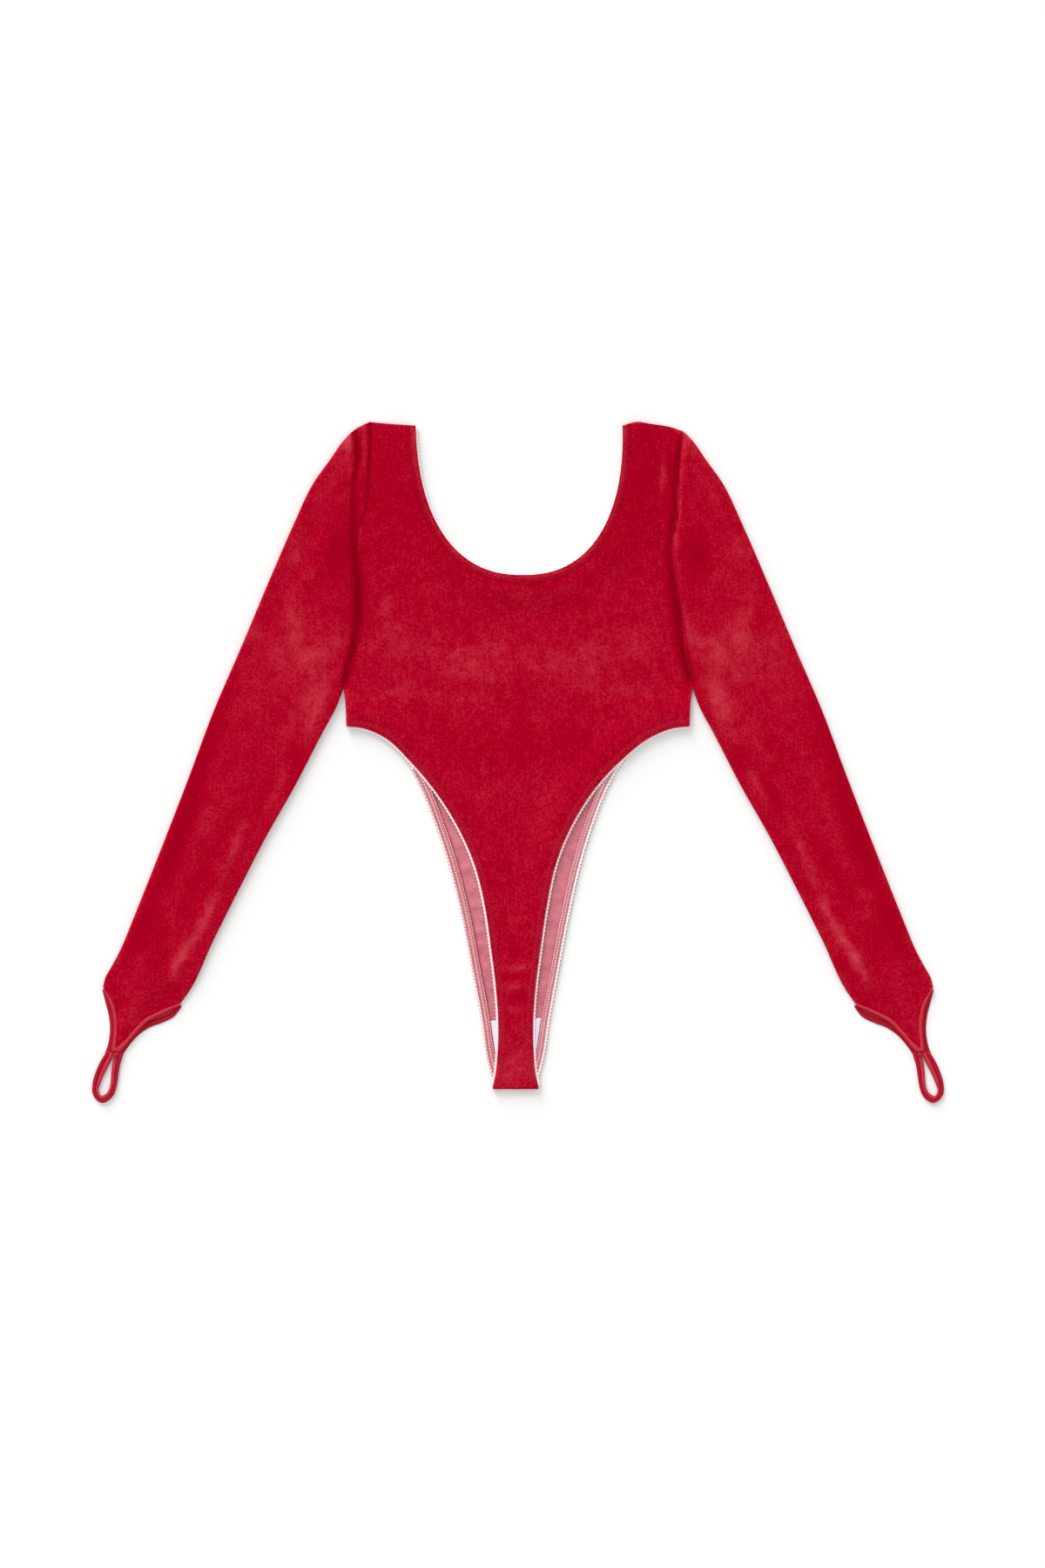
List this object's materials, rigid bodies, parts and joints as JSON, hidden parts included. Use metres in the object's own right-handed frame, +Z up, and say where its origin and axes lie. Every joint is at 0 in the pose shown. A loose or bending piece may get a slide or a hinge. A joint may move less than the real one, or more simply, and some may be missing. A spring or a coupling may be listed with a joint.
{
  "type": "leotard",
  "caption": "Long-sleeved, scoop-necked, high-cut thong leotard in red stretch velvet with finger loops, laid flat on its back.",
  "frame": {"origin": "middle of the whole garment's outline, on the surface that it lies on", "axes": "+X across the body towards the sleeve on the right seen from above, +Y from the gusset to the shoulders, +Z up out of the garment's front"},
  "size_m": [0.8798, 0.7034, 0.0053],
  "materials": {
    "velvet": "short-pile stretch velvet, knit reverse",
    "jersey": "fine white cotton jersey",
    "elastic": "white picot elastic under red zigzag stitches",
    "binding": "folded velvet binding, smoother than the cloth"
  },
  "bodies": {
    "root": {"front_panel": "velvet", "back_panel": "velvet", "sleeve_left": "velvet", "sleeve_right": "velvet", "gusset_lining": "jersey", "neck_elastic_front": "elastic", "neck_elastic_back": "elastic", "leg_elastic_left_front": "elastic", "leg_elastic_left_back": "elastic", "leg_elastic_right_front": "elastic", "leg_elastic_right_back": "elastic", "cuff_binding_left_top": "binding", "cuff_binding_left_under": "binding", "cuff_binding_right_top": "binding", "cuff_binding_right_under": "binding", "finger_loop_left": "binding", "finger_loop_right": "binding"}
  },
  "joints": []
}
